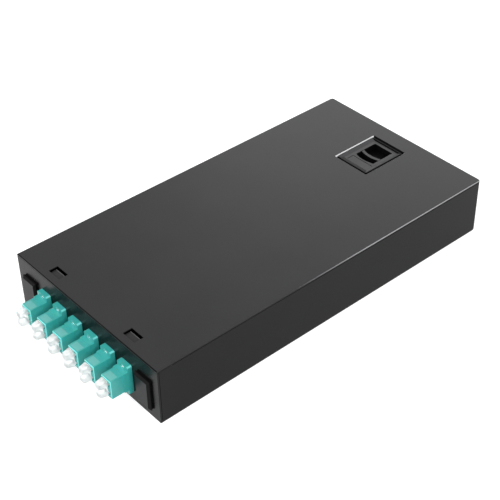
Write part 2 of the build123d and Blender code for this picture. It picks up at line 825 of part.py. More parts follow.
for side, x in gland_xs.items():
    with BuildPart() as clamp:
        with BuildSketch(Plane.XY.offset(anchor_top)):
            with Locations((x, anchor_y)):
                RectangleRounded(clamp_width, clamp_length, 2.0)
                Circle(clamp_screw_bore, mode=Mode.SUBTRACT)
        extrude(amount=sheet)
    clamp.part.label = f"clamp_plate_{side}"
    export_step(clamp.part, f"parts/clamp_plate_{side}.step")

with BuildPart() as clamp_screws:
    with BuildSketch(Plane.XY.offset(anchor_top + sheet)):
        with Locations(*[(x, anchor_y) for x in clamp_xs]):
            Circle(clamp_screw_head_radius)
    extrude(amount=clamp_screw_head_height)
    with BuildSketch(Plane.XY.offset(anchor_top + sheet)):
        with Locations(*[(x, anchor_y) for x in clamp_xs]):
            Circle(clamp_screw_radius)
    extrude(amount=-clamp_screw_length)
clamp_screws.part.label = "clamp_screws"
export_step(clamp_screws.part, "parts/clamp_screws.step")

# Earth point: a welded stud with its nut
with BuildPart() as earth_stud:
    with BuildSketch(Plane.XY.offset(sheet)):
        with Locations((earth_x, earth_y)):
            Circle(earth_base_radius)
    extrude(amount=earth_base_height)
    with BuildSketch(Plane.XY.offset(sheet)):
        with Locations((earth_x, earth_y)):
            Circle(earth_radius)
    extrude(amount=earth_height)
earth_stud.part.label = "earth_stud"
export_step(earth_stud.part, "parts/earth_stud.step")

with BuildPart() as earth_nut:
    with BuildSketch(Plane.XY.offset(sheet + earth_base_height)):
        with Locations((earth_x, earth_y)):
            RegularPolygon(hex_radius(earth_nut_flats), 6)
            Circle(earth_radius + lock_nut_gap, mode=Mode.SUBTRACT)
    extrude(amount=earth_nut_height)
earth_nut.part.label = "earth_nut"
export_step(earth_nut.part, "parts/earth_nut.step")

# Cable glands: threaded body with its hexagon, lock nut inside, rubber seal and domed nut outside
neck_start = rear + gland_hex_length
neck_end = neck_start + gland_neck_length
for side, x in gland_xs.items():
    with BuildPart() as gland_body:
        with BuildSketch(facing_rear(x, rear - gland_inner_length, gland_z)):
            Circle(gland_thread_radius)
        extrude(amount=gland_inner_length + gland_hex_length + gland_neck_length)
        with BuildSketch(facing_rear(x, rear, gland_z)):
            RegularPolygon(hex_radius(gland_flats), 6)
        extrude(amount=gland_hex_length)
        with BuildSketch(facing_rear(x, rear - gland_inner_length, gland_z)):
            Circle(gland_bore)
        extrude(amount=gland_inner_length + gland_hex_length + gland_neck_length, mode=Mode.SUBTRACT)
        with BuildSketch(facing_rear(x, neck_end, gland_z)):
            Circle(gland_seat_radius)
        extrude(amount=-gland_seat_depth, mode=Mode.SUBTRACT)
    gland_body.part.label = f"gland_body_{side}"
    export_step(gland_body.part, f"parts/gland_body_{side}.step")

    with BuildPart() as gland_lock_nut:
        with BuildSketch(facing_front(x, rear - sheet, gland_z)):
            RegularPolygon(hex_radius(gland_flats), 6)
            Circle(gland_thread_radius + lock_nut_gap, mode=Mode.SUBTRACT)
        extrude(amount=lock_nut_length)
    gland_lock_nut.part.label = f"gland_lock_nut_{side}"
    export_step(gland_lock_nut.part, f"parts/gland_lock_nut_{side}.step")

    seal_start = neck_end - gland_seat_depth
    with BuildPart() as gland_seal:
        with BuildSketch(facing_rear(x, seal_start, gland_z)):
            Circle(seal_radius)
            Circle(seal_bore, mode=Mode.SUBTRACT)
        extrude(amount=seal_length)
    gland_seal.part.label = f"gland_seal_{side}"
    export_step(gland_seal.part, f"parts/gland_seal_{side}.step")

    dome_inner_end = seal_start + seal_length + dome_end_gap
    dome_outer_end = dome_inner_end + dome_end_wall
    with BuildPart() as gland_dome_nut:
        with BuildSketch(facing_rear(x, neck_start + dome_start, gland_z)):
            Circle(dome_radius)
        extrude(amount=dome_outer_end - neck_start - dome_start)
        fillet(gland_dome_nut.faces().sort_by(Axis.Y)[-1].edges(), dome_edge)
        with BuildSketch(facing_rear(x, neck_start + dome_start, gland_z)):
            RegularPolygon(hex_radius(dome_flats), 6)
        extrude(amount=dome_outer_end - neck_start - dome_start, mode=Mode.INTERSECT)
        with BuildSketch(facing_rear(x, neck_start + dome_start, gland_z)):
            Circle(gland_thread_radius + dome_bore_gap)
        extrude(amount=dome_inner_end - neck_start - dome_start, mode=Mode.SUBTRACT)
        with BuildSketch(facing_rear(x, dome_outer_end, gland_z)):
            Circle(dome_hole)
        extrude(amount=-dome_end_wall, mode=Mode.SUBTRACT)
    gland_dome_nut.part.label = f"gland_dome_nut_{side}"
    export_step(gland_dome_nut.part, f"parts/gland_dome_nut_{side}.step")
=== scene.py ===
# %% [markdown]
# # A fibre termination box
# This lesson dresses a small sheet-metal box that joins fibre cables to six duplex adapters. The box, its
# lid, the latch and every inner piece come from the CAD frame at their real size, so nothing is moved here.
# What Blender adds is the look: painted steel, moulded plastic, soft edges, a coiled spring, light and a
# camera.

# %% Load the frame
from math import cos, radians, sin, tau

import bmesh
import bpy
from mathutils import Matrix, Vector


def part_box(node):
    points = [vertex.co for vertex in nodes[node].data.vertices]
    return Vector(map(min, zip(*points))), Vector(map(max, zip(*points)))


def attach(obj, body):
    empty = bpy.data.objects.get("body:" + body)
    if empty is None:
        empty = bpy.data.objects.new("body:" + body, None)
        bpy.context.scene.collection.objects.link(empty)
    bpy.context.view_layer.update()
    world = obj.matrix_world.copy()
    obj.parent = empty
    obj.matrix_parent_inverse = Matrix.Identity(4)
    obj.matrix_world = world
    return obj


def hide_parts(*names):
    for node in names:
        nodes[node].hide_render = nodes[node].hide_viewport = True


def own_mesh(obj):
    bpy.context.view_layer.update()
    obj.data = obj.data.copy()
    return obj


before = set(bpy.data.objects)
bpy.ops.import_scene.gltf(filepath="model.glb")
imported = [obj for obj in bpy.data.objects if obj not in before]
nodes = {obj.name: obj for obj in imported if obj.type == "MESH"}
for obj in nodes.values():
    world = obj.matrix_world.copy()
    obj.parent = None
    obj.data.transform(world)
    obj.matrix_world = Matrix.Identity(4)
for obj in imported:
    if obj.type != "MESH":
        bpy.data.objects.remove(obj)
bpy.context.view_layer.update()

scene = bpy.context.scene

# %% [markdown]
# ## The camera
# The box was photographed from its front right corner, from above. Its eight corners, found in the picture,
# fix where the camera stood and how long its lens was, so the same numbers are used here. The picture is
# square, and its width in pixels turns the focal length into millimetres on a 36 mm sensor.

# %% Camera
picture_pixels = 500
focal_pixels = 1224.08
sensor_mm = 36.0
camera_place = Vector((0.4532, -0.3936, 0.4910))
camera_azimuth = radians(49.47)
camera_elevation = radians(38.53)
camera_roll = radians(-1.02)


def camera_axes(azimuth, elevation, roll):
    """The camera's right, up and backward directions."""
    right = Vector((cos(azimuth), sin(azimuth), 0.0))
    back = Vector((sin(azimuth) * cos(elevation), -cos(azimuth) * cos(elevation), sin(elevation)))
    up = back.cross(right)
    turned_right = cos(roll) * right + sin(roll) * up
    turned_up = cos(roll) * up - sin(roll) * right
    return turned_right, turned_up, back


camera_data = bpy.data.cameras.new("photo_camera")
camera_data.sensor_width = sensor_mm
camera_data.lens = focal_pixels / picture_pixels * sensor_mm
camera = bpy.data.objects.new("photo_camera", camera_data)
scene.collection.objects.link(camera)
axes = Matrix(camera_axes(camera_azimuth, camera_elevation, camera_roll)).transposed()
camera.matrix_world = Matrix.Translation(camera_place) @ axes.to_4x4()
scene.camera = camera
scene.view_settings.view_transform = "Standard"
print("lens", round(camera_data.lens, 1), "mm")

# %% [markdown]
# ## The floor
# The box stands on a plain white floor. One large square will do, as long as its edge stays out of the
# picture.

# %% Floor
floor_half = 6.0
floor_mesh = bpy.data.meshes.new("floor")
floor_corners = [(-floor_half, -floor_half, 0), (floor_half, -floor_half, 0),
                 (floor_half, floor_half, 0), (-floor_half, floor_half, 0)]
floor_mesh.from_pydata(floor_corners, [], [(0, 1, 2, 3)])
floor = bpy.data.objects.new("floor", floor_mesh)
scene.collection.objects.link(floor)
print("floor", 2 * floor_half, "m wide")

# %% [markdown]
# ## Light that is only seen
# A white background could be had with more light, but that would wash out the box too. Instead the floor and
# the sky show white only to rays that look at them: those from the camera, from a mirror or through glass.
# The rays that carry light to the box find a calmer floor and sky. The light path says which ray it is.

# %% What is seen directly


def seen_directly(tree):
    """A factor that is 1 for rays from the camera, a mirror or glass, and 0 for those that light things."""
    path = tree.nodes.new("ShaderNodeLightPath")
    first = tree.nodes.new("ShaderNodeMath")
    first.operation = "MAXIMUM"
    second = tree.nodes.new("ShaderNodeMath")
    second.operation = "MAXIMUM"
    tree.links.new(path.outputs["Is Camera Ray"], first.inputs[0])
    tree.links.new(path.outputs["Is Glossy Ray"], first.inputs[1])
    tree.links.new(first.outputs[0], second.inputs[0])
    tree.links.new(path.outputs["Is Transmission Ray"], second.inputs[1])
    return second.outputs[0]


print("switch for seen light ready")

# %% [markdown]
# ## White paper on the floor
# A lit floor alone would turn grey near the box and clip far from it, so the paper mixes its own light with
# a little glow that is only seen. The shadow stays, soft and faint.

# %% Floor paper
paper_tone = 0.62
paper_glow = 0.68
floor_paper = bpy.data.materials.new("white_paper")
floor_paper.use_nodes = True
tree = floor_paper.node_tree
tree.nodes.clear()
floor_output = tree.nodes.new("ShaderNodeOutputMaterial")
paper = tree.nodes.new("ShaderNodeBsdfDiffuse")
paper.inputs["Color"].default_value = (paper_tone, paper_tone, paper_tone, 1)
glow = tree.nodes.new("ShaderNodeEmission")
glow.inputs["Color"].default_value = (1, 1, 1, 1)
glow.inputs["Strength"].default_value = paper_glow
lit_and_glowing = tree.nodes.new("ShaderNodeAddShader")
floor_mix = tree.nodes.new("ShaderNodeMixShader")
tree.links.new(paper.outputs[0], lit_and_glowing.inputs[0])
tree.links.new(glow.outputs[0], lit_and_glowing.inputs[1])
tree.links.new(seen_directly(tree), floor_mix.inputs[0])
tree.links.new(paper.outputs[0], floor_mix.inputs[1])
tree.links.new(lit_and_glowing.outputs[0], floor_mix.inputs[2])
tree.links.new(floor_mix.outputs[0], floor_output.inputs[0])
floor_mesh.materials.append(floor_paper)
print("paper tone", paper_tone, "with glow", paper_glow)

# %% [markdown]
# ## The sky
# An even sky lights the box gently from all round, as the white walls of a studio do. Where it is seen, it
# is plain white.

# %% Sky
sky_light = 0.42
sky_seen = 1.0
world = bpy.data.worlds.new("studio")
world.use_nodes = True
scene.world = world
tree = world.node_tree
tree.nodes.clear()
world_output = tree.nodes.new("ShaderNodeOutputWorld")
soft_sky = tree.nodes.new("ShaderNodeBackground")
soft_sky.inputs["Strength"].default_value = sky_light
white_sky = tree.nodes.new("ShaderNodeBackground")
white_sky.inputs["Strength"].default_value = sky_seen
for sky in (soft_sky, white_sky):
    sky.inputs["Color"].default_value = (1, 1, 1, 1)
world_mix = tree.nodes.new("ShaderNodeMixShader")
tree.links.new(seen_directly(tree), world_mix.inputs[0])
tree.links.new(soft_sky.outputs[0], world_mix.inputs[1])
tree.links.new(white_sky.outputs[0], world_mix.inputs[2])
tree.links.new(world_mix.outputs[0], world_output.inputs[0])
print("sky", sky_light, "as light and", sky_seen, "as seen")

# %% [markdown]
# ## Studio light
# Dark paint shows mostly what it mirrors, so the lamps are large and soft, and each has one job. The lid
# grows paler towards its rear, and its rounded edges glint there, so two lamps hang behind, one of them
# high overhead. The front panel is brighter than the right side, so the strongest lamp stands at the front
# left. The right side and the ends of the adapters still need some light of their own, which a smaller lamp
# at the right gives. Where a pale surface comes out too bright, a lamp is turned down and the colour stays.

# %% Lights


def soft_light(name, place, target, width, depth, power):
    """A rectangular area light that looks at a point."""
    data = bpy.data.lights.new(name, "AREA")
    data.shape = "RECTANGLE"
    data.size = width
    data.size_y = depth
    data.energy = power
    light = bpy.data.objects.new(name, data)
    light.location = place
    light.rotation_euler = (Vector(place) - Vector(target)).to_track_quat("Z", "Y").to_euler()
    scene.collection.objects.link(light)
    return light


overhead_light = soft_light("overhead_light", (0.45, 0.75, 0.95), (0, 0.05, 0.04),
                            width=0.6, depth=0.45, power=4.2)
rear_light = soft_light("rear_light", (-0.75, 1.05, 0.72), (0, 0.08, 0.04),
                        width=0.9, depth=0.5, power=1.9)
front_light = soft_light("front_light", (-0.70, -0.80, 0.95), (0, -0.1, 0.02),
                         width=1.4, depth=1.0, power=12.0)
right_light = soft_light("right_light", (0.72, -0.48, 0.62), (0, -0.13, 0.02),
                         width=0.8, depth=0.6, power=8.0)
print("lights:", overhead_light.name, rear_light.name, front_light.name, right_light.name)

# %% [markdown]
# ## A shared way to build a finish
# Every finish here starts as a Principled shader with two habits. Its colour drifts a little between two
# near tones, and a fine noise pushes the surface normal. The noise reads the piece's own coordinates, in
# metres, so a grain of half a millimetre is half a millimetre on every piece. How much a finish mirrors is
# one number for the whole surface, set on the shader itself.

# %% Finish helper
tone_split = (0.35, 0.65)
drift_detail = 3.0
grain_detail = 2.0
grain_strength = 0.6


def finish(name, tone, second_tone, roughness, drift_scale, grain_scale, grain_height, **sockets):
    """A Principled material whose tone drifts and whose surface has a fine grain."""
    material = bpy.data.materials.new(name)
    material.use_nodes = True
    tree = material.node_tree
    shader = tree.nodes["Principled BSDF"]
    shader.inputs["Roughness"].default_value = roughness
    for socket, value in sockets.items():
        shader.inputs[socket.replace("_", " ")].default_value = value
    place = tree.nodes.new("ShaderNodeTexCoord")
    drift = tree.nodes.new("ShaderNodeTexNoise")
    drift.inputs["Scale"].default_value = drift_scale
    drift.inputs["Detail"].default_value = drift_detail
    tones = tree.nodes.new("ShaderNodeValToRGB")
    tones.color_ramp.elements[0].position = tone_split[0]
    tones.color_ramp.elements[0].color = (*tone, 1)
    tones.color_ramp.elements[1].position = tone_split[1]
    tones.color_ramp.elements[1].color = (*second_tone, 1)
    grain = tree.nodes.new("ShaderNodeTexNoise")
    grain.inputs["Scale"].default_value = grain_scale
    grain.inputs["Detail"].default_value = grain_detail
    bump = tree.nodes.new("ShaderNodeBump")
    bump.inputs["Strength"].default_value = grain_strength
    bump.inputs["Distance"].default_value = grain_height
    tree.links.new(place.outputs["Object"], drift.inputs["Vector"])
    tree.links.new(place.outputs["Object"], grain.inputs["Vector"])
    tree.links.new(drift.outputs["Fac"], tones.inputs["Fac"])
    tree.links.new(tones.outputs["Color"], shader.inputs["Base Color"])
    tree.links.new(grain.outputs["Fac"], bump.inputs["Height"])
    tree.links.new(bump.outputs["Normal"], shader.inputs["Normal"])
    return material


print("finish helper ready, grain strength", grain_strength)

# %% [markdown]
# ## A shared way to build a mask
# Painted light, highlights and shade lie only on some places of a piece, so each needs a mask: a factor that
# is 1 there and 0 elsewhere. The masks here are worked out from the surface normal and from the place on the
# piece, both in the piece's own coordinates, so they stay put when a piece moves. Where painted shade should
# also mirror less, the mask darkens the tint of the mirror there.

# %% Mask helpers


def step(tree, kind, *sources, **settings):
    """Adds one shader node, feeds its inputs in order and gives back its first output."""
    made = tree.nodes.new("ShaderNode" + kind)
    for setting, value in settings.items():
        setattr(made, setting, value)
    for socket, source in zip(made.inputs, sources):
        if isinstance(source, bpy.types.NodeSocket):
            tree.links.new(source, socket)
        else:
            socket.default_value = source
    return made.outputs[0]


def mix_tone(tree, mask, socket, tone):
    """Lays a tone over what already feeds a colour socket, where the mask is 1."""
    mix = tree.nodes.new("ShaderNodeMix")
    mix.data_type = "RGBA"
    tree.links.new(mask, mix.inputs[0])
    tree.links.new(socket.links[0].from_socket, mix.inputs[6])
    mix.inputs[7].default_value = (*tone, 1)
    tree.links.new(mix.outputs[2], socket)


def normal_parts(tree):
    """The X, Y and Z parts of the piece's own surface normal."""
    place = tree.nodes.new("ShaderNodeTexCoord")
    parts = tree.nodes.new("ShaderNodeSeparateXYZ")
    tree.links.new(place.outputs["Normal"], parts.inputs[0])
    return parts.outputs


def place_parts(tree):
    """The X, Y and Z of a point in the piece's own coordinates, in metres."""
    place = tree.nodes.new("ShaderNodeTexCoord")
    parts = tree.nodes.new("ShaderNodeSeparateXYZ")
    tree.links.new(place.outputs["Object"], parts.inputs[0])
    return parts.outputs


def product(tree, first, second):
    """Two factors multiplied. Of two masks, this is where both hold."""
    return step(tree, "Math", first, second, operation="MULTIPLY")


def highest(tree, first, second):
    """The higher of two factors. Of two masks, this is where either holds."""
    return step(tree, "Math", first, second, operation="MAXIMUM")


print("mask helpers ready")

# %% [markdown]
# ## Painted steel
# The case is folded steel with a dark grey powder coat. Powder melts into a satin skin with a slight orange
# peel, about half a millimetre across, and a noise bump at that scale gives it. Lid and tray wear the same
# coat, but the lid's copy is painted paler as light on the top, the tray's darker as shade, and the lid
# mirrors a little more.

# %% Painted steel
orange_peel = {"drift_scale": 30.0, "grain_scale": 2400.0, "grain_height": 0.00002}
# Two copies of one coat: the tray's is painted darker as shade on the sides, the lid's paler as light on the
# top.
paint = finish("powder_coat", (0.0034, 0.0034, 0.0036), (0.0044, 0.0044, 0.0046), roughness=0.22,
               **orange_peel, Specular_IOR_Level=0.10)
lit_lid_paint = finish("lid_powder_coat", (0.0135, 0.0135, 0.0145), (0.0155, 0.0155, 0.0165), roughness=0.30,
                   **orange_peel, Specular_IOR_Level=0.24)
nodes["base_tray"].material_slots[0].material = paint
nodes["cover"].material_slots[0].material = lit_lid_paint
print("painted:", paint.name, lit_lid_paint.name)

# %% [markdown]
# ## Painted highlights on the lid's edges
# The lid's long rounded edges catch the lamps, so a paler tone is painted on them as a highlight, most of all
# on the rear half. The surface normal finds them: on a rounded edge that runs front to back, its X and Z
# parts are both large, and their product peaks at 45 degrees. A ramp turns that product into a mask, a second
# ramp along Y fades it out towards the front, and the mask lays the highlight tone over the paint. The edge
# of the latch's cut-out gets a brighter painted glint still. A third mask, by the distance from the box's
# middle, finds it.

# %% Painted edge highlights
edge_highlight_tone = (0.30, 0.30, 0.31)
cutout_glint_tone = (0.66, 0.66, 0.67)
highlight_fade_start = -0.03
highlight_full_from = 0.03
latch_reach = 0.03
edge_lean = (0.26, 0.42)
tree = lit_lid_paint.node_tree
lid_shader = tree.nodes["Principled BSDF"]
lean_x, lean_y, lean_z = normal_parts(tree)
along_x, along_y, along_z = place_parts(tree)
lean = step(tree, "Math", product(tree, lean_x, lean_z), operation="ABSOLUTE")
on_edge = step(tree, "MapRange", lean, *edge_lean, 0.0, 1.0)
on_rear_half = step(tree, "MapRange", along_y, highlight_fade_start, highlight_full_from, 0.0, 1.0)
edge_highlight = product(tree, on_edge, on_rear_half)
# Painted highlight along the lid's rounded edges.
mix_tone(tree, edge_highlight, lid_shader.inputs["Base Color"], edge_highlight_tone)
from_middle = step(tree, "Math", along_x, operation="ABSOLUTE")
by_latch = step(tree, "Math", from_middle, latch_reach, operation="LESS_THAN")
cutout_glint = product(tree, edge_highlight, by_latch)
# Painted glint on the edge of the latch's cut-out.
mix_tone(tree, cutout_glint, lid_shader.inputs["Base Color"], cutout_glint_tone)
print("rubbed tone over", lit_lid_paint.name)

# %% [markdown]
# ## The dark line under the lid
# A dark line of painted shade runs round under the lid, where the joint to the tray lies in shade. It also
# takes in the lid's front edge, which is painted dark as shade too, and both mirror less. The rim is where
# the surface stands upright just below the top, and the front edge is where the normal leans towards the
# front.

# %% Lid rim
seam_shade_tone = (0.0002, 0.0002, 0.0002)
rim_band = (0.0006, 0.0013)
upright_limit = 0.5
front_lean = (-0.15, -0.40)
lid_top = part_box("cover")[1][2]
rim_top = lid_top - rim_band[0]
sheet_under = lid_top - rim_band[1]
below_top = step(tree, "Math", along_z, rim_top, operation="LESS_THAN")
above_under = step(tree, "Math", along_z, sheet_under, operation="GREATER_THAN")
lean_up = step(tree, "Math", lean_z, operation="ABSOLUTE")
upright = step(tree, "Math", lean_up, upright_limit, operation="LESS_THAN")
rim = product(tree, product(tree, below_top, above_under), upright)
front_edge = step(tree, "MapRange", lean_y, *front_lean, 0.0, 1.0)
seam_shade = highest(tree, rim, front_edge)
# Painted shade along the lid's rim and front edge.
mix_tone(tree, seam_shade, lid_shader.inputs["Base Color"], seam_shade_tone)
lid_mirror = step(tree, "MapRange", seam_shade, 0.0, 1.0, 1.0, 0.0)
tree.links.new(lid_mirror, lid_shader.inputs["Specular Tint"])
print("dark rim between", round(1000 * sheet_under, 1), "and", round(1000 * rim_top, 1), "mm")

# %% [markdown]
# ## The tray's folds and tongues
# Where two walls of the tray meet, the upright folds are painted dark as shade, and mirror less.
# There the normal's X and Y parts are both large. The two tongues, which show in the lid's windows, are the
# other way round: their tops are painted paler as light, and a painted highlight runs along the bent ends.
# Height, normal and place find them.

# %% Tray folds and tongues
fold_shade_tone = (0.002, 0.002, 0.002)
fold_lean = (0.04, 0.25)
fold_mirrors = 0.2
tongue_lit_tone = (0.026, 0.026, 0.027)
tongue_end_highlight_tone = (0.085, 0.085, 0.086)
tongue_low = 0.030
tongue_rear = -0.1195
end_start = -0.1204
tongue_flat = 0.7
tree = paint.node_tree
paint_shader = tree.nodes["Principled BSDF"]
fold_x, fold_y, fold_z = normal_parts(tree)
tray_y, tray_z = place_parts(tree)[1:3]
fold = step(tree, "Math", product(tree, fold_x, fold_y), operation="ABSOLUTE")
fold_shade = step(tree, "MapRange", fold, *fold_lean, 0.0, 1.0)
# Painted shade in the upright folds.
mix_tone(tree, fold_shade, paint_shader.inputs["Base Color"], fold_shade_tone)
high_up = step(tree, "Math", tray_z, tongue_low, operation="GREATER_THAN")
facing_up = step(tree, "Math", fold_z, tongue_flat, operation="GREATER_THAN")
at_front = step(tree, "Math", tray_y, tongue_rear, operation="LESS_THAN")
tongue_top = product(tree, product(tree, high_up, facing_up), at_front)
# Painted light on the tongues' tops.
mix_tone(tree, tongue_top, paint_shader.inputs["Base Color"], tongue_lit_tone)
at_end = step(tree, "Math", tray_y, end_start, operation="GREATER_THAN")
# Painted highlight along the tongues' bent ends.
mix_tone(tree, product(tree, tongue_top, at_end), paint_shader.inputs["Base Color"], tongue_end_highlight_tone)
fold_mirror = step(tree, "MapRange", fold_shade, 0.0, 1.0, 1.0, fold_mirrors)
tree.links.new(fold_mirror, paint_shader.inputs["Specular Tint"])
print("tongues pale above", round(1000 * tongue_low, 1), "mm, in front of", round(1000 * tongue_rear, 1))

# %% [markdown]
# ## Aqua plastic
# The adapters are moulded from an aqua plastic that lets a little light in. Subsurface scattering with a
# short radius does that for the walls. The edges catch the light, so a paler tone is painted along them as a
# highlight. An edge is where two parts of the normal are large together, and the largest of the three
# products is the mask.

# %% Aqua plastic
aqua_edge_highlight_tone = (0.20, 0.74, 0.71)
aqua_edge_highlight_share = 0.9
highlight_lean = (0.12, 0.40)
aqua = finish("aqua_plastic", (0.034, 0.355, 0.330), (0.044, 0.385, 0.358), roughness=0.34, drift_scale=120.0,
              grain_scale=3000.0, grain_height=0.00001, Subsurface_Weight=0.35, Subsurface_Scale=0.0015)
tree = aqua.node_tree
aqua_shader = tree.nodes["Principled BSDF"]
lean_x, lean_y, lean_z = normal_parts(tree)
bend_xy, bend_xz, bend_yz = [step(tree, "Math", product(tree, first, second), operation="ABSOLUTE")
                             for first, second in ((lean_x, lean_y), (lean_x, lean_z), (lean_y, lean_z))]
bend = highest(tree, highest(tree, bend_xy, bend_xz), bend_yz)
aqua_edge_highlight = step(tree, "MapRange", bend, *highlight_lean, 0.0, aqua_edge_highlight_share)
# Painted highlight along the adapters' edges.
mix_tone(tree, aqua_edge_highlight, aqua_shader.inputs["Base Color"], aqua_edge_highlight_tone)
print("plastic:", aqua.name)

# %% [markdown]
# ## Painted light on the adapters' noses
# The front of each adapter nose's top is painted as a paler rectangle, as light falling there. All six
# adapters share one material and stand at one spacing. The distance from the first, wrapped at that spacing,
# therefore gives the place within each, so one mask makes six pale patches.

# %% Painted light on the noses
lit_patch_tone = (0.17, 0.46, 0.44)
lit_patch_share = 0.65
flat_top = 0.9
lit_patch_half_width = 0.0034
lit_patch_start = 0.0010
lit_patch_end = 0.0056
adapter_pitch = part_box("adapter_2")[0][0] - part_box("adapter_1")[0][0]
adapter_middle = (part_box("adapter_1")[0][0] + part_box("adapter_1")[1][0]) / 2
adapter_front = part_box("adapter_1")[0][1]
along_x, along_y = place_parts(tree)[0:2]
from_first = step(tree, "Math", along_x, adapter_middle, operation="SUBTRACT")
off_middle = step(tree, "Math", from_first, adapter_pitch / 2, -adapter_pitch / 2, operation="WRAP")
off_middle = step(tree, "Math", off_middle, operation="ABSOLUTE")
in_width = step(tree, "Math", off_middle, lit_patch_half_width, operation="LESS_THAN")
past_front = step(tree, "Math", along_y, adapter_front + lit_patch_start, operation="GREATER_THAN")
before_back = step(tree, "Math", along_y, adapter_front + lit_patch_end, operation="LESS_THAN")
on_top = step(tree, "Math", lean_z, flat_top, operation="GREATER_THAN")
lit_patch = product(tree, product(tree, in_width, past_front), product(tree, before_back, on_top))
# Painted light on the front of each nose's top.
mix_tone(tree, product(tree, lit_patch, lit_patch_share), aqua_shader.inputs["Base Color"], lit_patch_tone)
print("pale windows every", round(1000 * adapter_pitch, 2), "mm")

# %% [markdown]
# ## The other plastics
# The dust caps are a soft, milky white plastic, like a thin candle. Most of the light goes through them and
# comes out again, so they take transmission with a low index, and a trace of painted glow that lifts them
# paler. The blanking plugs are black, and the glands a black nylon that has paled a little. The splice tray
# and the fibre guides are plain white, and dull enough to write on. All have the fine grain of
# a mould.

# %% Other plastics
mould_grain = {"drift_scale": 100.0, "grain_scale": 5000.0, "grain_height": 0.00002}
# The caps' faint emission is a painted glow.
milky = finish("cap_plastic", (0.93, 0.94, 0.94), (0.96, 0.97, 0.97), roughness=0.40, drift_scale=150.0,
               grain_scale=3000.0, grain_height=0.00001, Transmission_Weight=0.70, IOR=1.25,
               Emission_Strength=0.03)
black = finish("black_plastic", (0.005, 0.005, 0.006), (0.006, 0.006, 0.007), roughness=0.36, **mould_grain,
               Specular_IOR_Level=0.12)
latch_grey = finish("latch_plastic", (0.043, 0.043, 0.045), (0.050, 0.050, 0.052), roughness=0.36,
                    **mould_grain, Specular_IOR_Level=0.15)
gland_nylon = finish("gland_nylon", (0.020, 0.020, 0.021), (0.026, 0.026, 0.027), roughness=0.42,
                     **mould_grain)
tray_white = finish("tray_plastic", (0.66, 0.66, 0.64), (0.72, 0.72, 0.70), roughness=0.42, drift_scale=60.0,
                    grain_scale=2500.0, grain_height=0.00001, Subsurface_Weight=0.2, Subsurface_Scale=0.001)
print("plastics:", milky.name, black.name, latch_grey.name, gland_nylon.name, tray_white.name)

# %% [markdown]
# ## Painted shade in the latch
# The latch is grey plastic, to go with the lid. Its deep finger pocket, the ramps that face along the box and
# the thin rim at the dish's sides lie in shade, so they are painted nearly black as shade and mirror less.
# The face and the side ramps keep the grey. The masks come from the piece's own coordinates: how deep a point
# lies, and which of the dish's four ramps it stands on. A point is on the front ramp where it is nearer to
# the front than to a side.

# %% Latch face and inside
latch_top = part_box("latch_bezel")[1][2]
shade_depth = 0.0011
shade_fade = 0.0001
dish_half_width = 0.0126
dish_front = 0.08205
dish_rear = 0.11425
side_ramp = 0.0024
front_ramp = 0.0028
rear_ramp = 0.0005
latch_shade_tone = (0.003, 0.003, 0.003)
latch_shade_mirrors = 0.1
front_share = 0.97
ramp_start = 0.001
ramp_end = 0.999
tree = latch_grey.node_tree
latch_shader = tree.nodes["Principled BSDF"]
along_x, along_y, along_z = place_parts(tree)
shade_top = latch_top - shade_depth
# Painted shade below this depth, in the finger pocket.
deep_shade = step(tree, "MapRange", along_z, shade_top - shade_fade, shade_top, 1.0, 0.0)
across = step(tree, "Math", along_x, operation="ABSOLUTE")
from_side = step(tree, "MapRange", across, dish_half_width, dish_half_width - side_ramp, 0.0, 1.0)
from_front = step(tree, "MapRange", along_y, dish_front, dish_front + front_ramp, 0.0, 1.0)
from_rear = step(tree, "MapRange", along_y, dish_rear, dish_rear - rear_ramp, 0.0, 1.0)
nearest_side = step(tree, "Math", from_side, ramp_end, operation="MINIMUM")
front_ramp_shade = step(tree, "Math", from_front, nearest_side, operation="LESS_THAN")
front_ramp_shade = product(tree, front_ramp_shade, front_share)
rear_ramp_shade = step(tree, "Math", from_rear, ramp_end, operation="LESS_THAN")
on_rim = step(tree, "Math", from_side, ramp_start, operation="LESS_THAN")
ramp_shade = highest(tree, highest(tree, front_ramp_shade, rear_ramp_shade), on_rim)
latch_shade = highest(tree, deep_shade, ramp_shade)
# Painted shade in the pocket, on the front and rear ramps and on the side rim.
mix_tone(tree, latch_shade, latch_shader.inputs["Base Color"], latch_shade_tone)
face_mirror = step(tree, "MapRange", latch_shade, 0.0, 1.0, 1.0, latch_shade_mirrors)
tree.links.new(face_mirror, latch_shader.inputs["Specular Tint"])
# The face keeps its grey down to this depth; below it, shade is painted.
print("latch face sprayed down to", round(1000 * shade_top, 2), "mm")

# %% [markdown]
# ## The rim of the blanking plugs
# A blanking plug has a flat face that catches the front lamp, inside a rounded rim that turns away from it.
# The rim looks almost like a drawn line. A mask on how squarely the surface faces the front paints the rim
# darker as shade, and duller than the face.

# %% Plug rims
plug_rim_shade_tone = (0.0025, 0.0025, 0.0025)
plug_rim_mirrors = 0.4
off_square = (-0.95, -0.80)
tree = black.node_tree
black_shader = tree.nodes["Principled BSDF"]
lean_y = normal_parts(tree)[1]
off_face = step(tree, "MapRange", lean_y, *off_square, 0.0, 1.0)
# Painted shade on the plug's rim.
mix_tone(tree, off_face, black_shader.inputs["Base Color"], plug_rim_shade_tone)
rim_mirror = step(tree, "MapRange", off_face, 0.0, 1.0, 1.0, plug_rim_mirrors)
tree.links.new(rim_mirror, black_shader.inputs["Specular Tint"])
print("dark rims on", black.name)

# %% [markdown]
# ## Metal, ceramic and rubber
# Studs, brackets and clamps are zinc-plated steel, which dulls to a mid grey in use, so its mirror is
# blurred. The adapters' screws are new and bright. A metallic shader needs something to reflect, and the
# pale floor and lamps give it that. The alignment sleeves are polished ceramic, and the gland seals soft
# rubber.

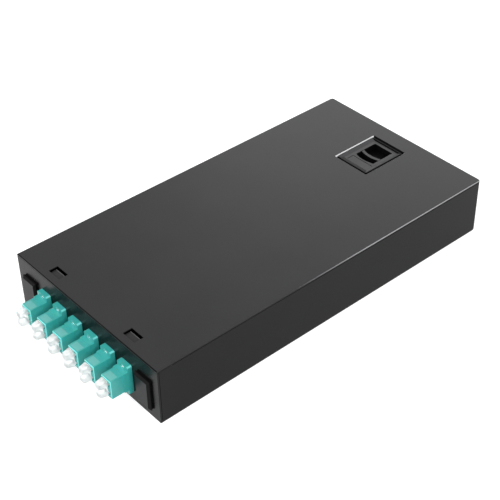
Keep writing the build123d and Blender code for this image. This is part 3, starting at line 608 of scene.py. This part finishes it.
# %% Metal, ceramic and rubber
plated_grain = {"drift_scale": 200.0, "grain_scale": 4000.0, "grain_height": 0.00001}
zinc = finish("zinc_plate", (0.36, 0.37, 0.38), (0.46, 0.46, 0.47), roughness=0.52, **plated_grain,
              Metallic=1.0)
screw_steel = finish("bright_screw", (0.86, 0.86, 0.87), (0.92, 0.92, 0.92), roughness=0.16, **plated_grain,
                     Metallic=1.0)
ceramic = finish("sleeve_ceramic", (0.80, 0.79, 0.75), (0.84, 0.83, 0.80), roughness=0.12, drift_scale=300.0,
                 grain_scale=4000.0, grain_height=0.000002)
rubber = finish("seal_rubber", (0.015, 0.015, 0.015), (0.022, 0.022, 0.022), roughness=0.75,
                drift_scale=200.0, grain_scale=4000.0, grain_height=0.00002)
print("others:", zinc.name, screw_steel.name, ceramic.name, rubber.name)

# %% [markdown]
# ## The latch's return spring
# Inside the latch a small compression spring pushes the slider home. It is hard-drawn wire wound on a
# mandrel, with part of a turn closed at each end so that it sits square. Its length and width come from the
# box round the CAD spring, and a helix says where the middle of the wire runs.

# %% The spring's helix
spring_low, spring_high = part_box("latch_spring")
wire_radius = 0.00028
coil_radius = (spring_high[0] - spring_low[0]) / 2 - wire_radius
coil_middle = (spring_low + spring_high) / 2
spring_start = spring_low[1] + wire_radius
spring_end = spring_high[1] - wire_radius
closed_turns = 0.75
open_turns = 5.0
steps_a_turn = 28
ring_points = 10
closed_rise = 2 * wire_radius * closed_turns
open_rise = spring_end - spring_start - 2 * closed_rise


def helix_point(turn):
    """The middle of the wire after so many turns from the front end."""
    if turn < closed_turns:
        along = closed_rise * turn / closed_turns
    elif turn < closed_turns + open_turns:
        along = closed_rise + open_rise * (turn - closed_turns) / open_turns
    else:
        along = closed_rise + open_rise + closed_rise * (turn - closed_turns - open_turns) / closed_turns
    return Vector((coil_middle[0] + coil_radius * cos(tau * turn), spring_start + along,
                   coil_middle[2] + coil_radius * sin(tau * turn)))


print("helix of", 2 * closed_turns + open_turns, "turns")

# %% [markdown]
# ## Sweep the wire
# A curve with a round bevel would make the wire too, but a mesh built by hand keeps its rings at even steps
# and its ends closed. A ring of points is set square to the helix at each step, each ring is joined to the
# next, and the two ends get a cap.

# %% Sweep the wire
look_ahead = 0.01
coil = bmesh.new()
step_count = round((2 * closed_turns + open_turns) * steps_a_turn)
rings = []
for index in range(step_count + 1):
    turn = index / steps_a_turn
    here = helix_point(turn)
    ahead = (helix_point(turn + look_ahead) - helix_point(turn - look_ahead)).normalized()
    outward = Vector((cos(tau * turn), 0, sin(tau * turn)))
    sideways = ahead.cross(outward).normalized()
    ring = []
    for corner in range(ring_points):
        angle = tau * corner / ring_points
        ring.append(coil.verts.new(here + wire_radius * (cos(angle) * outward + sin(angle) * sideways)))
    rings.append(ring)
for ring, following in zip(rings, rings[1:]):
    for corner in range(ring_points):
        after = (corner + 1) % ring_points
        coil.faces.new((ring[corner], following[corner], following[after], ring[after]))
coil.faces.new(rings[0])
coil.faces.new(rings[-1])
bmesh.ops.recalc_face_normals(coil, faces=coil.faces)
spring_mesh = bpy.data.meshes.new("return_spring")
coil.to_mesh(spring_mesh)
coil.free()
spring_mesh.polygons.foreach_set("use_smooth", [True] * len(spring_mesh.polygons))
spring_mesh.materials.append(screw_steel)
return_spring = bpy.data.objects.new("return_spring", spring_mesh)
scene.collection.objects.link(return_spring)
print("wire swept in", step_count, "steps")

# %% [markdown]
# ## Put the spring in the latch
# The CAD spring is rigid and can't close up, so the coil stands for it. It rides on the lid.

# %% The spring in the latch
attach(return_spring, "lid")
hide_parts("latch_spring")
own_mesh(return_spring)

# %% [markdown]
# ## Give each piece its finish
# Pieces that are alike have names that start alike. A short list of name starts says which finish each
# group gets, and the first start that fits wins. The tray and the lid have had theirs already.

# %% Assign the finishes
finish_by_start = [
    ("adapter_screws", screw_steel),
    ("adapter_", aqua),
    ("alignment_sleeves", ceramic),
    ("outer_cap_", milky),
    ("inner_cap_", milky),
    ("blanking_plug_", black),
    ("gland_seal_", rubber),
    ("gland_", gland_nylon),
    ("latch_bezel", latch_grey),
    ("latch_slider", latch_grey),
    ("splice_", tray_white),
    ("fibre_guide_", tray_white),
    ("latch_", zinc),
    ("tray_", zinc),
    ("clamp_", zinc),
    ("anchor_", zinc),
    ("earth_", zinc),
]
for name, piece in nodes.items():
    for start, material in finish_by_start:
        if name.startswith(start):
            piece.material_slots[0].material = material
            break
print("finishes given to", len(nodes), "pieces")

# %% [markdown]
# ## Soft edges
# Nothing made has a knife edge: paint rounds a fold and a mould has a small radius. The CAD meshes are
# sharp and triangulated, so flat triangles are first joined by a planar dissolve, and a bevel then rounds
# what is sharp. Both are modifiers, so the pieces themselves stay as the CAD made them. Curves are shaded
# smoothly up to an angle of 32 degrees. The latch's shallow ramps meet its face at less than that, so the
# latch has 14 degrees. Pieces that aren't listed are only shaded.

# %% Edge modifiers
# Each row: the start of the name, the edge's radius in metres, its segments, and the smooth angle in degrees.
flat_angle = 0.5
edge_by_start = [
    ("cover", 0.00025, 2, 32),
    ("base_tray", 0.00012, 2, 32),
    ("adapter_screws", 0.00012, 2, 32),
    ("adapter_", 0.00022, 2, 32),
    ("outer_cap_", 0.00015, 2, 32),
    ("blanking_plug_", 0.0003, 3, 32),
    ("latch_bezel", 0.00010, 2, 14),
    ("latch_slider", 0.00015, 2, 32),
    ("gland_body", 0.0003, 2, 32),
    ("splice_", 0.0002, 2, 32),
    ("tray_", 0.0002, 2, 32),
    ("clamp_", 0.0002, 2, 32),
    ("anchor_", 0.0002, 2, 32),
    ("earth_", 0.0002, 2, 32),
]
unlisted_angle = 32


def shade(piece, angle):
    """Shades a piece smoothly, but for its folds sharper than the angle."""
    piece.data.polygons.foreach_set("use_smooth", [True] * len(piece.data.polygons))
    piece.data.set_sharp_from_angle(angle=radians(angle))


def soften(piece, radius, segments, angle):
    """Joins flat triangles and rounds the sharp edges of a CAD piece, by modifiers only."""
    flat = piece.modifiers.new("join_flat", "DECIMATE")
    flat.decimate_type = "DISSOLVE"
    flat.angle_limit = radians(flat_angle)
    bevel = piece.modifiers.new("soft_edge", "BEVEL")
    bevel.width = radius
    bevel.segments = segments
    bevel.limit_method = "ANGLE"
    bevel.angle_limit = radians(angle)
    bevel.harden_normals = True
    bevel.use_clamp_overlap = True


softened = 0
for name, piece in nodes.items():
    for start, radius, segments, angle in edge_by_start:
        if name.startswith(start):
            shade(piece, angle)
            soften(piece, radius, segments, angle)
            softened += 1
            break
    else:
        shade(piece, unlisted_angle)
print("softened", softened, "pieces")
